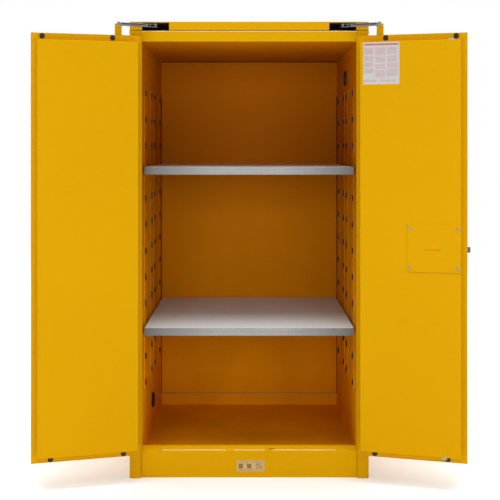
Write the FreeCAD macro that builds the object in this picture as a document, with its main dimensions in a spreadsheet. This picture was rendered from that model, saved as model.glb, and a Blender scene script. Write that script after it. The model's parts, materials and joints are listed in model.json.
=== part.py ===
"""Two-door, self-closing safety cabinet for flammable liquids.

The frame: origin at the centre of the base on the floor, +Z up, the doors on the -Y side.
Both doors stand open. Everything on a door is drawn in the door's own frame, with the hinge
axis at x = 0, y = 0, the free edge towards +x (left door) or -x (right door) and the inside
of the cabinet towards +y, and its Placement then carries it to the open position.
"""
import FreeCAD, Part
import math
import os

V = FreeCAD.Vector
UP = V(0, 0, 1)
doc = FreeCAD.newDocument("safety_cabinet")
sheet = doc.addObject("Spreadsheet::Sheet", "dims")
nodes = []

# alias, value in millimetres or degrees
DRIVING = [
    ("width", 863.6), ("depth", 863.6), ("height", 1651.0), ("gauge", 1.2), ("wall", 40.0),
    ("recess", 8.0), ("opening_low", 100.0), ("opening_high", 1580.0), ("deck_z", 1618.0),
    ("sill_depth", 57.0), ("pan_z", 49.0), ("rim_z", 99.0), ("cap_low", 1620.5),
    ("cap_skirt", 43.0), ("window_out", 388.0), ("window_in", 290.0), ("window_top", 1648.0),
    ("knuckle_radius", 4.0), ("knuckle_play", 0.15), ("pin_radius", 1.6), ("pin_play", 0.05),
    ("knuckle_pitch", 60.4),
    ("door_low", 88.0), ("door_high", 1598.0), ("door_free", 388.0), ("door_front", 1.0),
    ("ledge_back", 10.0), ("raised_back", 50.0), ("hinge_ledge", 16.0), ("free_ledge", 20.0),
    ("end_ledge", 27.0), ("open_angle", 165.0), ("hinge_half", 391.0),
    ("slot_high", 1399.0), ("slot_pitch", 98.4), ("slot_width", 9.0), ("slot_height", 20.0),
    ("standard_width", 24.0), ("standard_depth", 2.2), ("column_near", 62.5),
    ("column_far", 286.5), ("column_mid", -16.0), ("shelf_half", 384.0), ("shelf_front", -382.5),
    ("shelf_depth", 737.0), ("shelf_lip", 28.0), ("shelf_rise", 20.0), ("shelf_gauge", 1.5),
    ("vent_low", 177.0), ("vent_high", 1475.0), ("vent_bore", 22.0), ("vent_pipe", 25.0),
    ("vent_flange", 30.0), ("handle_u", 322.0), ("handle_z", 837.0), ("rod_throw", 12.0),
    ("arm_low", 1631.0), ("arm_high", 1643.0), ("arm_width", 10.0), ("bracket_u", 82.0),
    ("bracket_v", 12.4), ("bracket_width", 25.0), ("bracket_gauge", 3.0), ("stud_radius", 3.0),
    ("bumper_radius", 9.5), ("bumper_rise", 1.7), ("bumper_inset", 11.0), ("pad_reach", 30.0),
    ("bolt_half", 10.0), ("bolt_out", 10.0), ("lock_drop", 48.0), ("foot_x", 330.0),
    ("foot_y", 300.0), ("drum_x", 330.0), ("drum_y", -230.0), ("stud_y", 250.0), ("stud_z", 140.0),
]
for row, (alias, value) in enumerate(DRIVING, start=1):
    sheet.set(f"A{row}", alias)
    sheet.set(f"B{row}", str(value))
    sheet.setAlias(f"B{row}", alias)
doc.recompute()


def size(alias):
    """The number that a cell of the sheet holds."""
    return float(sheet.get(alias))


def bind(thing, **formulas):
    """Ties properties of an object to the sheet."""
    for name, formula in formulas.items():
        thing.setExpression(name.replace("__", "."), str(formula))


def place(thing, x="0", y="0", z="0"):
    bind(thing, Placement__Base__x=x, Placement__Base__y=y, Placement__Base__z=z)


def minus(high, low):
    return f"({high}) - ({low})"


def box(name, x, y, z):
    """A block between two formulas along each axis."""
    thing = doc.addObject("Part::Box", name)
    bind(thing, Length=minus(x[1], x[0]), Width=minus(y[1], y[0]), Height=minus(z[1], z[0]))
    place(thing, x[0], y[0], z[0])
    return thing


TURNS = {
    "x": FreeCAD.Rotation(V(0, 1, 0), 90),
    "y": FreeCAD.Rotation(V(1, 0, 0), -90),
    "z": FreeCAD.Rotation(),
}


def rod(name, radius, length, at, along="z"):
    """A cylinder that starts at a point and runs along a positive axis."""
    thing = doc.addObject("Part::Cylinder", name)
    thing.Placement = FreeCAD.Placement(V(), TURNS[along])
    bind(thing, Radius=radius, Height=length)
    place(thing, *at)
    return thing


def join(name, things):
    thing = doc.addObject("Part::MultiFuse", name)
    thing.Shapes = things
    return thing


def cut(name, base, tools):
    """The base less its tools."""
    thing = doc.addObject("Part::Cut", name)
    thing.Base = base
    thing.Tool = tools[0] if len(tools) == 1 else join(name + "_tools", tools)
    return thing


def group(name, things):
    """Separate solids that share one sub-part."""
    thing = doc.addObject("Part::Compound", name)
    thing.Links = things
    return thing


def keep(thing, label):
    """Marks a finished sub-part; its label names its file."""
    thing.Label = label
    nodes.append(thing)
    return thing


GAUGE = "dims.gauge"
HALF = "dims.width / 2"
FRONT = "-dims.depth / 2"
REAR = "dims.depth / 2"
FACE = "(dims.recess - dims.depth / 2)"
INNER = "(dims.width / 2 - dims.wall)"
INNER_REAR = "(dims.depth / 2 - dims.wall)"
JAMB_BACK = "(dims.wall - 2 - dims.depth / 2)"
SILL_BACK = f"({FACE} + dims.sill_depth)"
DECK = "dims.deck_z"
TOP_UNDER = "(dims.height - dims.gauge)"
COLUMNS = (
    "dims.column_mid - dims.column_far", "dims.column_mid - dims.column_near",
    "dims.column_mid + dims.column_near", "dims.column_mid + dims.column_far",
)
SHELVES = {"shelf_upper": 4, "shelf_lower": 10}
SIDES = {"left": -1, "right": 1}
LEVELS = 12


def span(side, near, far):
    """A low and a high X formula for a piece between two distances out from the middle."""
    if side > 0:
        return (near, far)
    return (f"-({far})", f"-({near})")


def level(number):
    """The height of the middle of one row of shelf slots, counted down from the top."""
    return f"(dims.slot_high - {number - 1} * dims.slot_pitch)"


def channel(name, outer, inner):
    """A folded channel: a block less the block inside it."""
    return cut(name, box(name + "_block", *outer), [box(name + "_inside", *inner)])


# Outer shell ------------------------------------------------------------------------------

def vent_hole(name, side, height):
    at = (f"{side} * {HALF} - {side} * dims.wall / 2 - 30", "dims.column_mid", height)
    return rod(name, "dims.vent_pipe + 0.3", "60", at, "x")


VENT_HEIGHTS = {"left": "dims.vent_low", "right": "dims.vent_high"}
for word, side in SIDES.items():
    hole = vent_hole(f"hole_out_{word}", side, VENT_HEIGHTS[word])
    skin = box(
        f"skin_{word}", span(side, minus(HALF, GAUGE), HALF), (FRONT, REAR), (0, TOP_UNDER),
    )
    corner = box(
        f"corner_{word}", span(side, f"{HALF} - 5", f"{HALF} + 5"),
        (f"{FRONT} - 1", f"{FACE} + {GAUGE}"), (DECK, "dims.height"),
    )
    keep(cut(f"outer_side_cut_{word}", skin, [hole, corner]), f"outer_side_{word}")

    reach = span(side, INNER, minus(HALF, GAUGE))
    hollow = span(side, f"{INNER} + {GAUGE}", f"{HALF} - 2 * {GAUGE}")
    stile = channel(
        f"stile_{word}_fold",
        (reach, (FRONT, JAMB_BACK), (0, DECK)),
        (hollow, (f"{FRONT} + {GAUGE}", f"{JAMB_BACK} + 1"), ("-1", f"{DECK} + 1")),
    )
    keep(stile, f"stile_{word}")

    hole = vent_hole(f"hole_in_{word}", side, VENT_HEIGHTS[word])
    lining = box(
        f"lining_{word}", span(side, INNER, f"{INNER} + {GAUGE}"), (JAMB_BACK, INNER_REAR),
        ("dims.pan_z", "dims.opening_high"),
    )
    keep(cut(f"inner_side_cut_{word}", lining, [hole]), f"inner_side_{word}")

WIDE = (f"{GAUGE} - {HALF}", f"{HALF} - {GAUGE}")
INSIDE = (f"-{INNER}", INNER)
keep(box("back_skin", WIDE, (minus(REAR, GAUGE), REAR), (0, TOP_UNDER)), "outer_back")


def flat_between_stiles(name, z):
    """A level plate inside the outer skins, notched round the two stiles."""
    plate = box(name + "_skin", WIDE, (f"{FACE} + {GAUGE}", minus(REAR, GAUGE)), z)
    notches = [
        box(
            f"{name}_notch_{word}", span(side, INNER, HALF),
            (f"{FRONT} - 1", f"{JAMB_BACK} + 0.2"), (f"{z[0]} - 1", f"{z[1]} + 1"),
        )
        for word, side in SIDES.items()
    ]
    return cut(name + "_cut", plate, notches)


keep(flat_between_stiles("base", ("0", GAUGE)), "base_plate")
keep(flat_between_stiles("deck", (minus(DECK, GAUGE), DECK)), "deck_plate")
keep(
    box("back_lining", INSIDE, (INNER_REAR, f"{INNER_REAR} + {GAUGE}"),
        ("dims.pan_z", "dims.opening_high")),
    "inner_back",
)
keep(
    box("ceiling", INSIDE, (JAMB_BACK, INNER_REAR),
        ("dims.opening_high", f"dims.opening_high + {GAUGE}")),
    "inner_ceiling",
)

# Rail over the opening, with a strike slot for the upper latch rod
ROD_X = "(dims.hinge_half - dims.handle_u)"
rail = channel(
    "rail_fold",
    (INSIDE, (FACE, JAMB_BACK), ("dims.opening_high", minus(DECK, GAUGE))),
    (
        (f"-{INNER} - 1", f"{INNER} + 1"), (f"{FACE} + {GAUGE}", f"{JAMB_BACK} + 1"),
        (f"dims.opening_high + {GAUGE}", DECK),
    ),
)
ROD_FRONT = f"({FRONT} - dims.knuckle_radius + 24)"
ROD_BACK = f"({ROD_FRONT} + 4)"


def strike_slot(name, middle, z_low, z_high):
    """A hole that clears a flat latch rod."""
    return box(
        name, (f"{middle} - 11", f"{middle} + 11"), (f"{ROD_FRONT} - 2", f"{ROD_BACK} + 2"),
        (z_low, z_high),
    )


top_slot = strike_slot(
    "top_strike", f"{ROD_X} - dims.rod_throw", "dims.opening_high - 1", "dims.opening_high + 3",
)
keep(cut("rail_cut", rail, [top_slot]), "top_rail")

# Sill over the leak-proof sump, with the kick panel in front and a strike slot
sill = channel(
    "sill_fold",
    (INSIDE, (FACE, SILL_BACK), (0, "dims.opening_low")),
    (
        (f"-{INNER} - 1", f"{INNER} + 1"), (f"{FACE} + {GAUGE}", f"{SILL_BACK} - {GAUGE}"),
        ("-1", f"dims.opening_low - {GAUGE}"),
    ),
)
sill_trim = box(
    "sill_trim", (f"-{INNER} - 1", f"{INNER} + 1"), (f"{SILL_BACK} - 5", f"{SILL_BACK} + 1"),
    ("-1", f"{GAUGE}"),
)
low_slot = strike_slot(
    "low_strike", f"{ROD_X} + dims.rod_throw", "dims.opening_low - 3", "dims.opening_low + 1",
)
keep(cut("sill_cut", sill, [low_slot, sill_trim]), "sill_kick_panel")

# Sump pan: floor and a raised rim on three sides, the sill closes the fourth
pan = channel(
    "pan_fold",
    (INSIDE, (SILL_BACK, INNER_REAR), (minus("dims.pan_z", GAUGE), "dims.rim_z")),
    (
        (f"{GAUGE} - {INNER}", f"{INNER} - {GAUGE}"),
        (f"{SILL_BACK} - 1", f"{INNER_REAR} - {GAUGE}"), ("dims.pan_z", "dims.rim_z + 1"),
    ),
)
keep(pan, "sump_pan")

# Top cover: a lid with a skirt all round, and two arm windows in its front
CAP = f"({HALF} + {GAUGE})"
cover = channel(
    "cover_fold",
    (
        (f"-{CAP}", CAP), (FACE, f"{REAR} + {GAUGE}"),
        ("dims.height - dims.cap_skirt", "dims.height"),
    ),
    (
        (f"-{HALF}", HALF), (f"{FACE} + {GAUGE}", REAR),
        ("dims.height - dims.cap_skirt - 1", TOP_UNDER),
    ),
)
windows = [
    box(
        f"window_{word}", span(side, "dims.window_in", "dims.window_out"),
        (f"{FACE} - 5", f"{FACE} + 5"), ("dims.height - 60", "dims.window_top"),
    )
    for word, side in SIDES.items()
]
shadow_gap = box(
    "shadow_gap", (f"-{CAP} - 1", f"{CAP} + 1"), (f"{FACE} - 5", f"{FACE} + {GAUGE}"),
    ("dims.height - 60", "dims.cap_low"),
)
keep(cut("cover_cut", cover, windows + [shadow_gap]), "top_cover")
cover_screws = [
    rod(
        f"cover_screw_{word}_{number}", "4", "3",
        (CAP if side > 0 else f"-{CAP} - 3", offset, "dims.height - 36"), "x",
    )
    for word, side in SIDES.items()
    for number, offset in enumerate((f"{FRONT} + 20", "0", f"{REAR} - 20"))
]
keep(group("cover_screw_set", cover_screws), "cover_screws")

# Shelf standards, shelves and their clips ---------------------------------------------------

def standard(name, side, column):
    """A slotted channel that stands against the inner wall."""
    half = "dims.standard_width / 2"
    low = f"{level(LEVELS)} - 24"
    high = f"{level(1)} + 24"
    face = f"{INNER} - dims.standard_depth"
    body = box(
        name + "_block", span(side, face, INNER), (f"{column} - {half}", f"{column} + {half}"),
        (low, high),
    )
    hollow = box(
        name + "_hollow", span(side, f"{face} + 1.2", f"{INNER} + 1"),
        (f"{column} - {half} + 1.5", f"{column} + {half} - 1.5"), (f"{low} - 1", f"{high} + 1"),
    )
    slots = [
        box(
            f"{name}_slot_{number}", span(side, f"{face} - 1", f"{INNER} + 1"),
            (f"{column} - dims.slot_width / 2", f"{column} + dims.slot_width / 2"),
            (f"{level(number)} - dims.slot_height / 2", f"{level(number)} + dims.slot_height / 2"),
        )
        for number in range(1, LEVELS + 1)
    ]
    return cut(name, body, [hollow] + slots)


for word, side in SIDES.items():
    strips = [
        standard(f"standard_{word}_{number}", side, column)
        for number, column in enumerate(COLUMNS)
    ]
    keep(group(f"standards_{word}", strips), f"shelf_standards_{word}")

for label, number in SHELVES.items():
    top = f"({level(number)} + dims.shelf_rise)"
    back = "(dims.shelf_front + dims.shelf_depth)"
    tray = channel(
        label + "_tray",
        (
            ("-dims.shelf_half", "dims.shelf_half"), ("dims.shelf_front", back),
            (f"{top} - dims.shelf_lip", top),
        ),
        (
            ("dims.shelf_gauge - dims.shelf_half", "dims.shelf_half - dims.shelf_gauge"),
            ("dims.shelf_front + dims.shelf_gauge", f"{back} - dims.shelf_gauge"),
            (f"{top} - dims.shelf_lip - 1", f"{top} - dims.shelf_gauge"),
        ),
    )
    keep(tray, label)


def clip(name, side, column, number):
    """A bent clip: a plate on the standard, a leg under the shelf and a hook in the slot."""
    face = f"({INNER} - dims.standard_depth)"
    middle = level(number)
    rest = f"({middle} + dims.shelf_rise - dims.shelf_lip)"
    plate = box(
        name + "_plate", span(side, f"{face} - 1.6", face), (f"{column} - 9", f"{column} + 9"),
        (f"{rest} - 2", f"{middle} + 14"),
    )
    leg = box(
        name + "_leg", span(side, f"{face} - 20", face), (f"{column} - 9", f"{column} + 9"),
        (f"{rest} - 2", rest),
    )
    hook = box(
        name + "_hook", span(side, f"{face} - 1", f"{INNER} - 0.3"),
        (f"{column} - 3", f"{column} + 3"), (f"{middle} - 5", f"{middle} + 5"),
    )
    return join(name, [plate, leg, hook])


clips = [
    clip(f"clip_{label}_{word}_{place_number}", side, column, number)
    for label, number in SHELVES.items()
    for word, side in SIDES.items()
    for place_number, column in enumerate((COLUMNS[0], COLUMNS[3]))
]
keep(group("clip_set", clips), "shelf_clips")

# Vents: a bung with a pipe through the wall, a flame screen inside it and a cap outside -------

def ring(name, side, near, far, radius, bore, height):
    """A ring on a vent's axis, between two distances out from the middle."""
    low, high = span(side, near, far)
    at = (low, "dims.column_mid", height)
    hole_at = (f"{low} - 1", "dims.column_mid", height)
    body = rod(name + "_body", radius, minus(high, low), at, "x")
    return cut(name, body, [rod(name + "_bore", bore, f"{high} - ({low}) + 2", hole_at, "x")])


vent_bodies = []
screens = []
caps = []
for word, side in SIDES.items():
    height = VENT_HEIGHTS[word]
    pipe = ring(
        f"pipe_{word}", side, f"{INNER} - 3", f"{HALF} + 6", "dims.vent_pipe", "dims.vent_bore",
        height,
    )
    flange = ring(
        f"vent_flange_{word}", side, f"{INNER} - 3", INNER, "dims.vent_flange",
        "dims.vent_bore", height,
    )
    vent_bodies.append(join(f"vent_body_{word}", [pipe, flange]))
    low, high = span(side, f"{INNER} + 4", f"{INNER} + 8")
    screens.append(
        rod(f"screen_{word}", "dims.vent_bore", minus(high, low),
            (low, "dims.column_mid", height), "x")
    )
    crown = rod(
        f"cap_crown_{word}", "dims.vent_flange", "8",
        (f"{HALF} + 6" if side > 0 else f"-({HALF}) - 14", "dims.column_mid", height), "x",
    )
    skirt = ring(
        f"cap_skirt_{word}", side, f"{HALF} + 1", f"{HALF} + 8", "dims.vent_flange",
        "dims.vent_pipe", height,
    )
    caps.append(join(f"cap_{word}", [crown, skirt]))
keep(group("vent_body_set", vent_bodies), "vent_bodies")
keep(group("screen_set", screens), "flame_screens")
keep(group("cap_set", caps), "vent_caps")

# Ground connection on the right side, near the floor, and levelling feet in the base ---------
GROUND = (HALF, "dims.stud_y", "dims.stud_z")
stud = rod("ground_shank", "3", "20", GROUND, "x")
flat_nut = rod("ground_nut_body", "7", "5", GROUND, "x")
keep(join("ground_stud_join", [stud, flat_nut]), "ground_stud")

feet = []
for word, side in SIDES.items():
    for end, depth in (("front", "-dims.foot_y"), ("rear", "dims.foot_y")):
        x = f"{side} * dims.foot_x"
        name = f"foot_{word}_{end}"
        pad = rod(name + "_pad", "18", "8", (x, depth, GAUGE))
        thread = rod(name + "_thread", "5", "36", (x, depth, f"{GAUGE} + 8"))
        feet.append(join(name, [pad, thread]))
keep(group("foot_set", feet), "levelling_feet")
keep(
    box("tan_plate", ("-45", "55"), (f"{FACE} - 0.6", FACE), ("22", "62")),
    "rating_plate",
)

# Door frames --------------------------------------------------------------------------------
HINGE_Y = -size("depth") / 2 - size("knuckle_radius")


def hinge_place(side, angle):
    """Where a door's own frame stands when the door is open by an angle in degrees."""
    return FreeCAD.Placement(
        V(side * size("hinge_half"), HINGE_Y, 0), FreeCAD.Rotation(UP, side * angle)
    )


def hang(thing, side):
    """Carries a piece drawn in the door's frame to the open door."""
    thing.Placement = hinge_place(side, size("open_angle"))
    return thing


def across(side, near, far):
    """A low and a high x formula in the door's frame, for distances from the hinge axis."""
    return span(-side, near, far)


def door_box(name, side, u, v, z):
    return box(name, across(side, *u), v, z)


DOOR_LOW = "dims.door_low"
DOOR_HIGH = "dims.door_high"
RAISED_U = ("dims.hinge_ledge", "dims.door_free - dims.free_ledge")
RAISED_Z = ("dims.door_low + dims.end_ledge", "dims.door_high - dims.end_ledge")
PAN_NEAR = "dims.knuckle_radius"
TOP_ROD_U = "(dims.handle_u + dims.rod_throw)"
LOW_ROD_U = "(dims.handle_u - dims.rod_throw)"
ROD_V = ("24", "28")


def inset(pair, amount):
    return (f"{pair[0]} + {amount}", f"{pair[1]} - {amount}")


def door_outer(word, side):
    """The outer pan: a flat skin with a lip on all four edges."""
    name = f"{word}_pan"
    u = (PAN_NEAR, "dims.door_free")
    z = (DOOR_LOW, DOOR_HIGH)
    tools = [
        door_box(name + "_inside", side, inset(u, GAUGE),
                 (f"{GAUGE} - dims.door_front", "dims.ledge_back + 1"), inset(z, GAUGE)),
        door_box(name + "_bracket_slot", side,
                 ("dims.bracket_u - dims.bracket_width / 2 - 0.5",
                  "dims.bracket_u + dims.bracket_width / 2 + 0.5"), ("1", "5"),
                 (f"{DOOR_HIGH} - 3", f"{DOOR_HIGH} + 1")),
        door_box(name + "_bolt_hole", side, ("dims.door_free - 3", "dims.door_free + 1"),
                 ("0.5", "8.5"),
                 ("dims.handle_z - dims.bolt_half - 1", "dims.handle_z + dims.bolt_half + 1")),
    ]
    if side > 0:
        tools.append(spindle_hole(name + "_spindle_hole", "-5", "10", "8.2"))
        tools.append(lock_hole(name + "_lock_hole"))
    body = door_box(name + "_block", side, u, ("-dims.door_front", "dims.ledge_back"), z)
    return hang(cut(name, body, tools), side)


LOCK_Z = "dims.handle_z - dims.lock_drop"


def spindle_hole(name, start, length, radius):
    return rod(name, radius, length, ("-dims.handle_u", start, "dims.handle_z"), "y")


def lock_hole(name):
    return rod(name, "11.2", "10", ("-dims.handle_u", "-5", LOCK_Z), "y")


def door_inner(word, side):
    """The inner tray: a ledge all round and a raised panel that fills the opening."""
    name = f"{word}_tray"
    ledge = door_box(
        name + "_ledge", side,
        (f"{PAN_NEAR} + {GAUGE}", f"dims.door_free - {GAUGE}"),
        (f"dims.ledge_back - {GAUGE}", "dims.ledge_back"),
        inset((DOOR_LOW, DOOR_HIGH), GAUGE),
    )
    raised = door_box(
        name + "_raised", side, RAISED_U, (f"dims.ledge_back - {GAUGE}", "dims.raised_back"),
        RAISED_Z,
    )
    tools = [
        door_box(name + "_inside", side, inset(RAISED_U, GAUGE),
                 ("0", f"dims.raised_back - {GAUGE}"), inset(RAISED_Z, GAUGE)),
    ]
    if side > 0:
        tools.append(
            door_box(name + "_top_slot", side, (f"{TOP_ROD_U} - 10", f"{TOP_ROD_U} + 10"),
                     ("23.5", "28.5"), (f"{RAISED_Z[1]} - 3", f"{RAISED_Z[1]} + 1"))
        )
        tools.append(
            door_box(name + "_low_slot", side, (f"{LOW_ROD_U} - 10", f"{LOW_ROD_U} + 10"),
                     ("23.5", "28.5"), (f"{RAISED_Z[0]} - 1", f"{RAISED_Z[0]} + 3"))
        )
        tools.append(
            door_box(name + "_access", side, ("200", "350"),
                     ("dims.raised_back - 3", "dims.raised_back + 1"),
                     ("dims.handle_z - 66", "dims.handle_z + 78"))
        )
    return hang(cut(name, join(name + "_skins", [ledge, raised]), tools), side)


def knuckle_gaps(name, first):
    """Blocks that clear every second knuckle of a continuous hinge."""
    count = int((size("door_high") - size("door_low")) / size("knuckle_pitch"))
    radius = size("knuckle_radius") + 0.5
    gaps = []
    for number in range(first, count, 2):
        low = f"dims.door_low + {number} * dims.knuckle_pitch - 0.25"
        high = f"dims.door_low + {number + 1} * dims.knuckle_pitch + 0.25"
        gaps.append(
            box(f"{name}_gap_{number}", (f"-{radius}", radius), (f"-{radius}", radius),
                (low, high))
        )
    return gaps


def hinge_leaf(name, plate, first):
    """One leaf of the continuous hinge, drawn round the hinge axis."""
    barrel = rod(
        name + "_barrel", "dims.knuckle_radius - dims.knuckle_play",
        "dims.door_high - dims.door_low", ("0", "0", DOOR_LOW),
    )
    bore = rod(
        name + "_bore", "dims.pin_radius + dims.pin_play", "dims.door_high - dims.door_low + 2",
        ("0", "0", f"{DOOR_LOW} - 1"),
    )
    comb = cut(name + "_comb", barrel, knuckle_gaps(name, first))
    return cut(name, join(name + "_body", [comb, plate]), [bore])


def door_leaf(word, side):
    name = f"{word}_leaf"
    plate = door_box(
        name + "_plate", side, (f"dims.knuckle_radius - {GAUGE}", "dims.knuckle_radius"),
        ("0", "dims.ledge_back"), (DOOR_LOW, DOOR_HIGH),
    )
    plate = cut(name + "_notched", plate, knuckle_gaps(name + "_notch", 0))
    return hang(hinge_leaf(name, plate, 0), side)


def frame_leaf(word, side):
    name = f"{word}_frame_leaf"
    plate = box(
        name + "_plate", span(side, "5", "22"),
        (f"dims.knuckle_radius - {GAUGE}", "dims.knuckle_radius"), (DOOR_LOW, DOOR_HIGH),
    )
    reach = box(
        name + "_reach", span(side, "0", "5"),
        (f"dims.knuckle_radius - {GAUGE}", "dims.knuckle_radius"), (DOOR_LOW, DOOR_HIGH),
    )
    reach = cut(name + "_reach_notched", reach, knuckle_gaps(name + "_notch", 1))
    leaf = hinge_leaf(name, join(name + "_plates", [plate, reach]), 1)
    leaf.Placement = hinge_place(side, 0)
    return leaf


BUMPER_TOP = f"{DOOR_HIGH} - dims.bumper_inset"
BUMPER_LOW = f"{DOOR_LOW} + dims.bumper_inset"
BUMPERS = (("350", BUMPER_TOP), ("103", BUMPER_TOP), ("321", BUMPER_LOW), ("64", BUMPER_LOW))


def bumpers(word, side):
    """Rubber bumpers on the door's ledges."""
    discs = []
    for number, (u, edge) in enumerate(BUMPERS):
        at = (f"{-side} * {u}", "dims.ledge_back", edge)
        discs.append(rod(f"{word}_bumper_{number}", "dims.bumper_radius", "dims.bumper_rise", at, "y"))
    return hang(group(f"{word}_bumper_set", discs), side)


def closer_bracket(word, side):
    """A folded bracket that stands on the door's head and carries the arm's pivot pin."""
    name = f"{word}_bracket"
    u = ("dims.bracket_u - dims.bracket_width / 2", "dims.bracket_u + dims.bracket_width / 2")
    at = (f"{-side} * dims.bracket_u", "dims.bracket_v", "dims.arm_low - 3.5")
    plate = door_box(name + "_plate", side, u, ("1.5", "1.5 + dims.bracket_gauge"),
                     ("dims.door_high - 58", "dims.arm_high - 3"))
    leg = door_box(name + "_leg", side, u, ("1.5", "20"),
                   ("dims.arm_low - 0.5 - dims.bracket_gauge", "dims.arm_low - 0.5"))
    pin = rod(name + "_pin", "dims.stud_radius", "dims.arm_high - dims.arm_low + 5", at)
    head = rod(name + "_head", "dims.stud_radius + 2", "1.6", (at[0], at[1], "dims.arm_high + 0.4"))
    return hang(join(name, [plate, leg, pin, head]), side)


# Doors with what they carry
for word, side in SIDES.items():
    keep(door_outer(word, side), f"{word}_door_outer")
    keep(door_inner(word, side), f"{word}_door_inner")
    keep(door_leaf(word, side), f"{word}_door_hinge_leaf")
    keep(frame_leaf(word, side), f"{word}_frame_hinge_leaf")
    keep(bumpers(word, side), f"{word}_door_bumpers")
    keep(closer_bracket(word, side), f"{word}_closer_bracket")

pins = [
    rod(f"hinge_pin_{word}", "dims.pin_radius", f"{minus(DOOR_HIGH, DOOR_LOW)}",
        (f"{side} * dims.hinge_half", f"{FRONT} - dims.knuckle_radius", DOOR_LOW))
    for word, side in SIDES.items()
]
keep(group("pin_set", pins), "hinge_pins")

# Left door's strike pads, above and below the slot for the centre bolt
PAD_U = ("dims.door_free - 16", f"dims.door_free - {GAUGE}")
PAD_Z = {
    "upper": ("dims.handle_z + dims.bolt_half + 1.5", "dims.handle_z + dims.pad_reach"),
    "lower": ("dims.handle_z - dims.pad_reach", "dims.handle_z - dims.bolt_half - 1.5"),
}
pads = [door_box(f"strike_pad_{end}", -1, PAD_U, ("1", "8"), z) for end, z in PAD_Z.items()]
keep(hang(group("strike_pads", pads), -1), "latch_strike")

# Three-point latch in the right door ---------------------------------------------------------
RIGHT = 1
COVER_U = ("183", "367")
COVER_Z = ("dims.handle_z - 78", "dims.handle_z + 90")
COVER_FACE = "(dims.raised_back + 1.5)"
plate = door_box("latch_cover_block", RIGHT, COVER_U, ("dims.raised_back", COVER_FACE), COVER_Z)
COVER_CORNER = 8.0
plate_corners = doc.addObject("Part::Fillet", "latch_cover_round")
plate_corners.Base = plate
doc.recompute()
plate_corners.Edges = [
    (number, COVER_CORNER, COVER_CORNER)
    for number, edge in enumerate(plate.Shape.Edges, start=1)
    if abs(edge.tangentAt(edge.FirstParameter).y) > 0.9
]
keep(hang(plate_corners, RIGHT), "latch_cover")
screws = [
    rod(f"latch_screw_{u}_{number}", "5", "2.2", (f"-{u}", COVER_FACE, f"dims.handle_z + {z}"), "y")
    for u in ("191.5", "358")
    for number, z in enumerate(("-63", "74"))
]
keep(hang(group("latch_cover_screw_set", screws), RIGHT), "latch_cover_screws")

BOLT_BEVEL = 5.0
bolt = door_box(
    "bolt_block", RIGHT, ("345", "dims.door_free + dims.bolt_out"), ("1", "8"),
    ("dims.handle_z - dims.bolt_half", "dims.handle_z + dims.bolt_half"),
)
bevel = doc.addObject("Part::Chamfer", "bolt_bevel")
bevel.Base = bolt
doc.recompute()
tip = -size("door_free") - size("bolt_out")
bevel.Edges = [
    (number, BOLT_BEVEL, BOLT_BEVEL) for number, edge in enumerate(bolt.Shape.Edges, start=1)
    if abs(edge.CenterOfMass.x - tip) < 0.01 and edge.CenterOfMass.y > 7.9
]
keep(hang(bevel, RIGHT), "latch_bolt")

RODS = {
    "latch_rod_top": (TOP_ROD_U, "dims.handle_z - 12", "dims.opening_high - 1.5", "-"),
    "latch_rod_bottom": (LOW_ROD_U, "dims.opening_low + 1.5", "dims.handle_z + 12", "+"),
}
for label, (u, low, high, sign) in RODS.items():
    body = door_box(label + "_bar", RIGHT, (f"{u} - 9.5", f"{u} + 9.5"), ROD_V, (low, high))
    pin_z = f"dims.handle_z {sign} dims.rod_throw / 2"
    slot = door_box(
        label + "_slot", RIGHT, (f"{u} - 5.5", f"{u} + 5.5"), ("20", "32"),
        (f"{pin_z} - 3.5", f"{pin_z} + 3.5"),
    )
    keep(hang(cut(label + "_slotted", body, [slot]), RIGHT), label)

GUIDES = ((TOP_ROD_U, "1100"), (TOP_ROD_U, "1400"), (LOW_ROD_U, "250"), (LOW_ROD_U, "550"))
guides = []
for number, (u, z) in enumerate(GUIDES):
    name = f"guide_{number}"
    frame_block = door_box(name + "_block", RIGHT, (f"{u} - 13", f"{u} + 13"), ("20", "48.8"),
                           (f"{z} - 8", f"{z} + 8"))
    passage = door_box(name + "_passage", RIGHT, (f"{u} - 10", f"{u} + 10"), ("23.5", "28.5"),
                       (f"{z} - 9", f"{z} + 9"))
    guides.append(cut(name, frame_block, [passage]))
keep(hang(group("guide_set", guides), RIGHT), "latch_rod_guides")

# Handle: plate on the door, turning lever with its spindle and drive disc, and key lock
rosette = door_box(
    "rosette_block", RIGHT, ("dims.handle_u - 22", "dims.handle_u + 22"), ("-5", "-dims.door_front"),
    ("dims.handle_z - 75", "dims.handle_z + 30"),
)
rosette = cut("rosette_cut", rosette, [
    spindle_hole("rosette_spindle_hole", "-8", "10", "8.2"), lock_hole("rosette_lock_hole"),
])
keep(hang(rosette, RIGHT), "handle_plate")
hub = rod("handle_hub", "13", "24", ("-dims.handle_u", "-29.5", "dims.handle_z"), "y")
spindle = rod("handle_spindle", "8", "24", ("-dims.handle_u", "-6", "dims.handle_z"), "y")
lever = door_box(
    "handle_lever", RIGHT, ("dims.handle_u - 112", "dims.handle_u"), ("-29.5", "-15.5"),
    ("dims.handle_z - 9", "dims.handle_z + 9"),
)
keep(hang(join("handle_join", [hub, spindle, lever]), RIGHT), "latch_handle")
disc = rod("drive_disc", "19", "4.5", ("-dims.handle_u", "18", "dims.handle_z"), "y")
drive_pins = [
    rod(f"drive_pin_{number}", "2.8", "8",
        (f"-dims.handle_u + {turn} * dims.rod_throw * cos(30)",
         "22", f"dims.handle_z + {turn} * dims.rod_throw * sin(30)"), "y")
    for number, turn in enumerate((1, -1))
]
keep(hang(join("drive_join", [disc] + drive_pins), RIGHT), "latch_drive_disc")
lock = rod("lock_body", "11", "14", ("-dims.handle_u", "-8", LOCK_Z), "y")
keep(hang(group("lock_set", [lock]), RIGHT), "lock_cylinder")

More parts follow.
